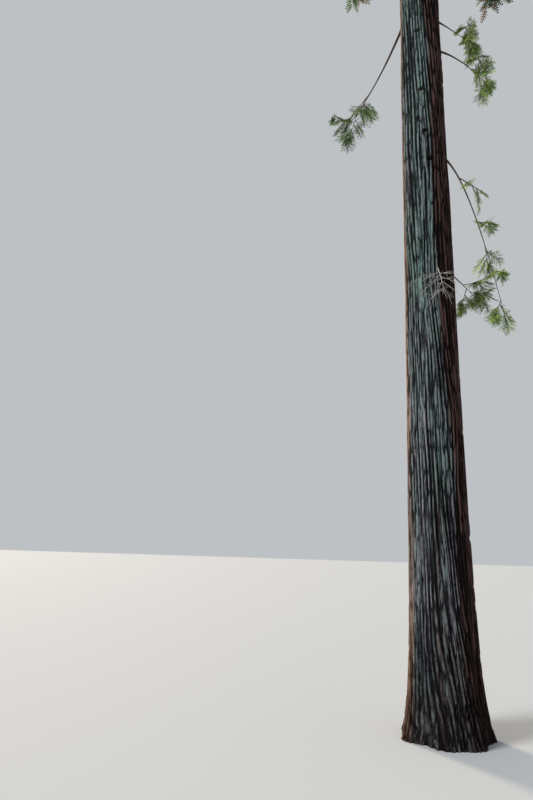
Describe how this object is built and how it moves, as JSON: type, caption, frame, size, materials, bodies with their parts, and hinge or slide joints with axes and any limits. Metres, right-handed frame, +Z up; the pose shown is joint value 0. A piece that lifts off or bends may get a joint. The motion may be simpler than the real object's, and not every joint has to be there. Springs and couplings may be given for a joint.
{
  "type": "redwood tree",
  "caption": "Tall coniferous tree with a plumb, furrowed trunk, a long bare shaft and a narrow crown of drooping boughs with masses of needle sprays.",
  "frame": {"origin": "centre of the trunk's flat cut at ground level", "axes": "+Z up along the trunk; +Y away from the side of the tree that the picture shows, +X to its right"},
  "size_m": [6.8433, 6.6715, 39.996],
  "materials": {
    "bark": "deeply furrowed fibrous bark, grey-green on the ridges and red-brown in the furrows",
    "bough_bark": "rough dark brown bark",
    "needles": "matte green needle sprays",
    "dead_wood": "dry, weathered pale grey wood"
  },
  "bodies": {
    "root": {"trunk": "bark", "bough_01": "bough_bark", "foliage_01": "needles", "bough_02": "bough_bark", "foliage_02": "needles", "bough_03": "bough_bark", "foliage_03": "needles", "bough_04": "bough_bark", "foliage_04": "needles", "bough_05": "bough_bark", "foliage_05": "needles", "bough_06": "bough_bark", "foliage_06": "needles", "bough_07": "bough_bark", "foliage_07": "needles", "bough_08": "bough_bark", "foliage_08": "needles", "bough_09": "bough_bark", "foliage_09": "needles", "bough_10": "bough_bark", "foliage_10": "needles", "bough_11": "bough_bark", "foliage_11": "needles", "bough_12": "bough_bark", "foliage_12": "needles", "bough_13": "bough_bark", "foliage_13": "needles", "bough_14": "bough_bark", "foliage_14": "needles", "bough_15": "bough_bark", "foliage_15": "needles", "bough_16": "bough_bark", "foliage_16": "needles", "bough_17": "bough_bark", "foliage_17": "needles", "foliage_18": "needles", "foliage_19": "needles", "foliage_20": "needles", "foliage_21": "needles", "foliage_22": "needles", "foliage_23": "needles", "foliage_24": "needles", "foliage_25": "needles", "foliage_26": "needles", "foliage_27": "needles", "foliage_28": "needles", "foliage_29": "needles", "leader": "needles", "low_bough_1": "bough_bark", "low_foliage_1": "needles", "low_bough_2": "bough_bark", "low_foliage_2": "needles", "low_bough_3": "bough_bark", "low_foliage_3": "needles", "low_bough_4": "bough_bark", "low_foliage_4": "needles", "low_bough_5": "bough_bark", "low_foliage_5": "needles", "dead_twigs": "dead_wood"}
  },
  "joints": []
}
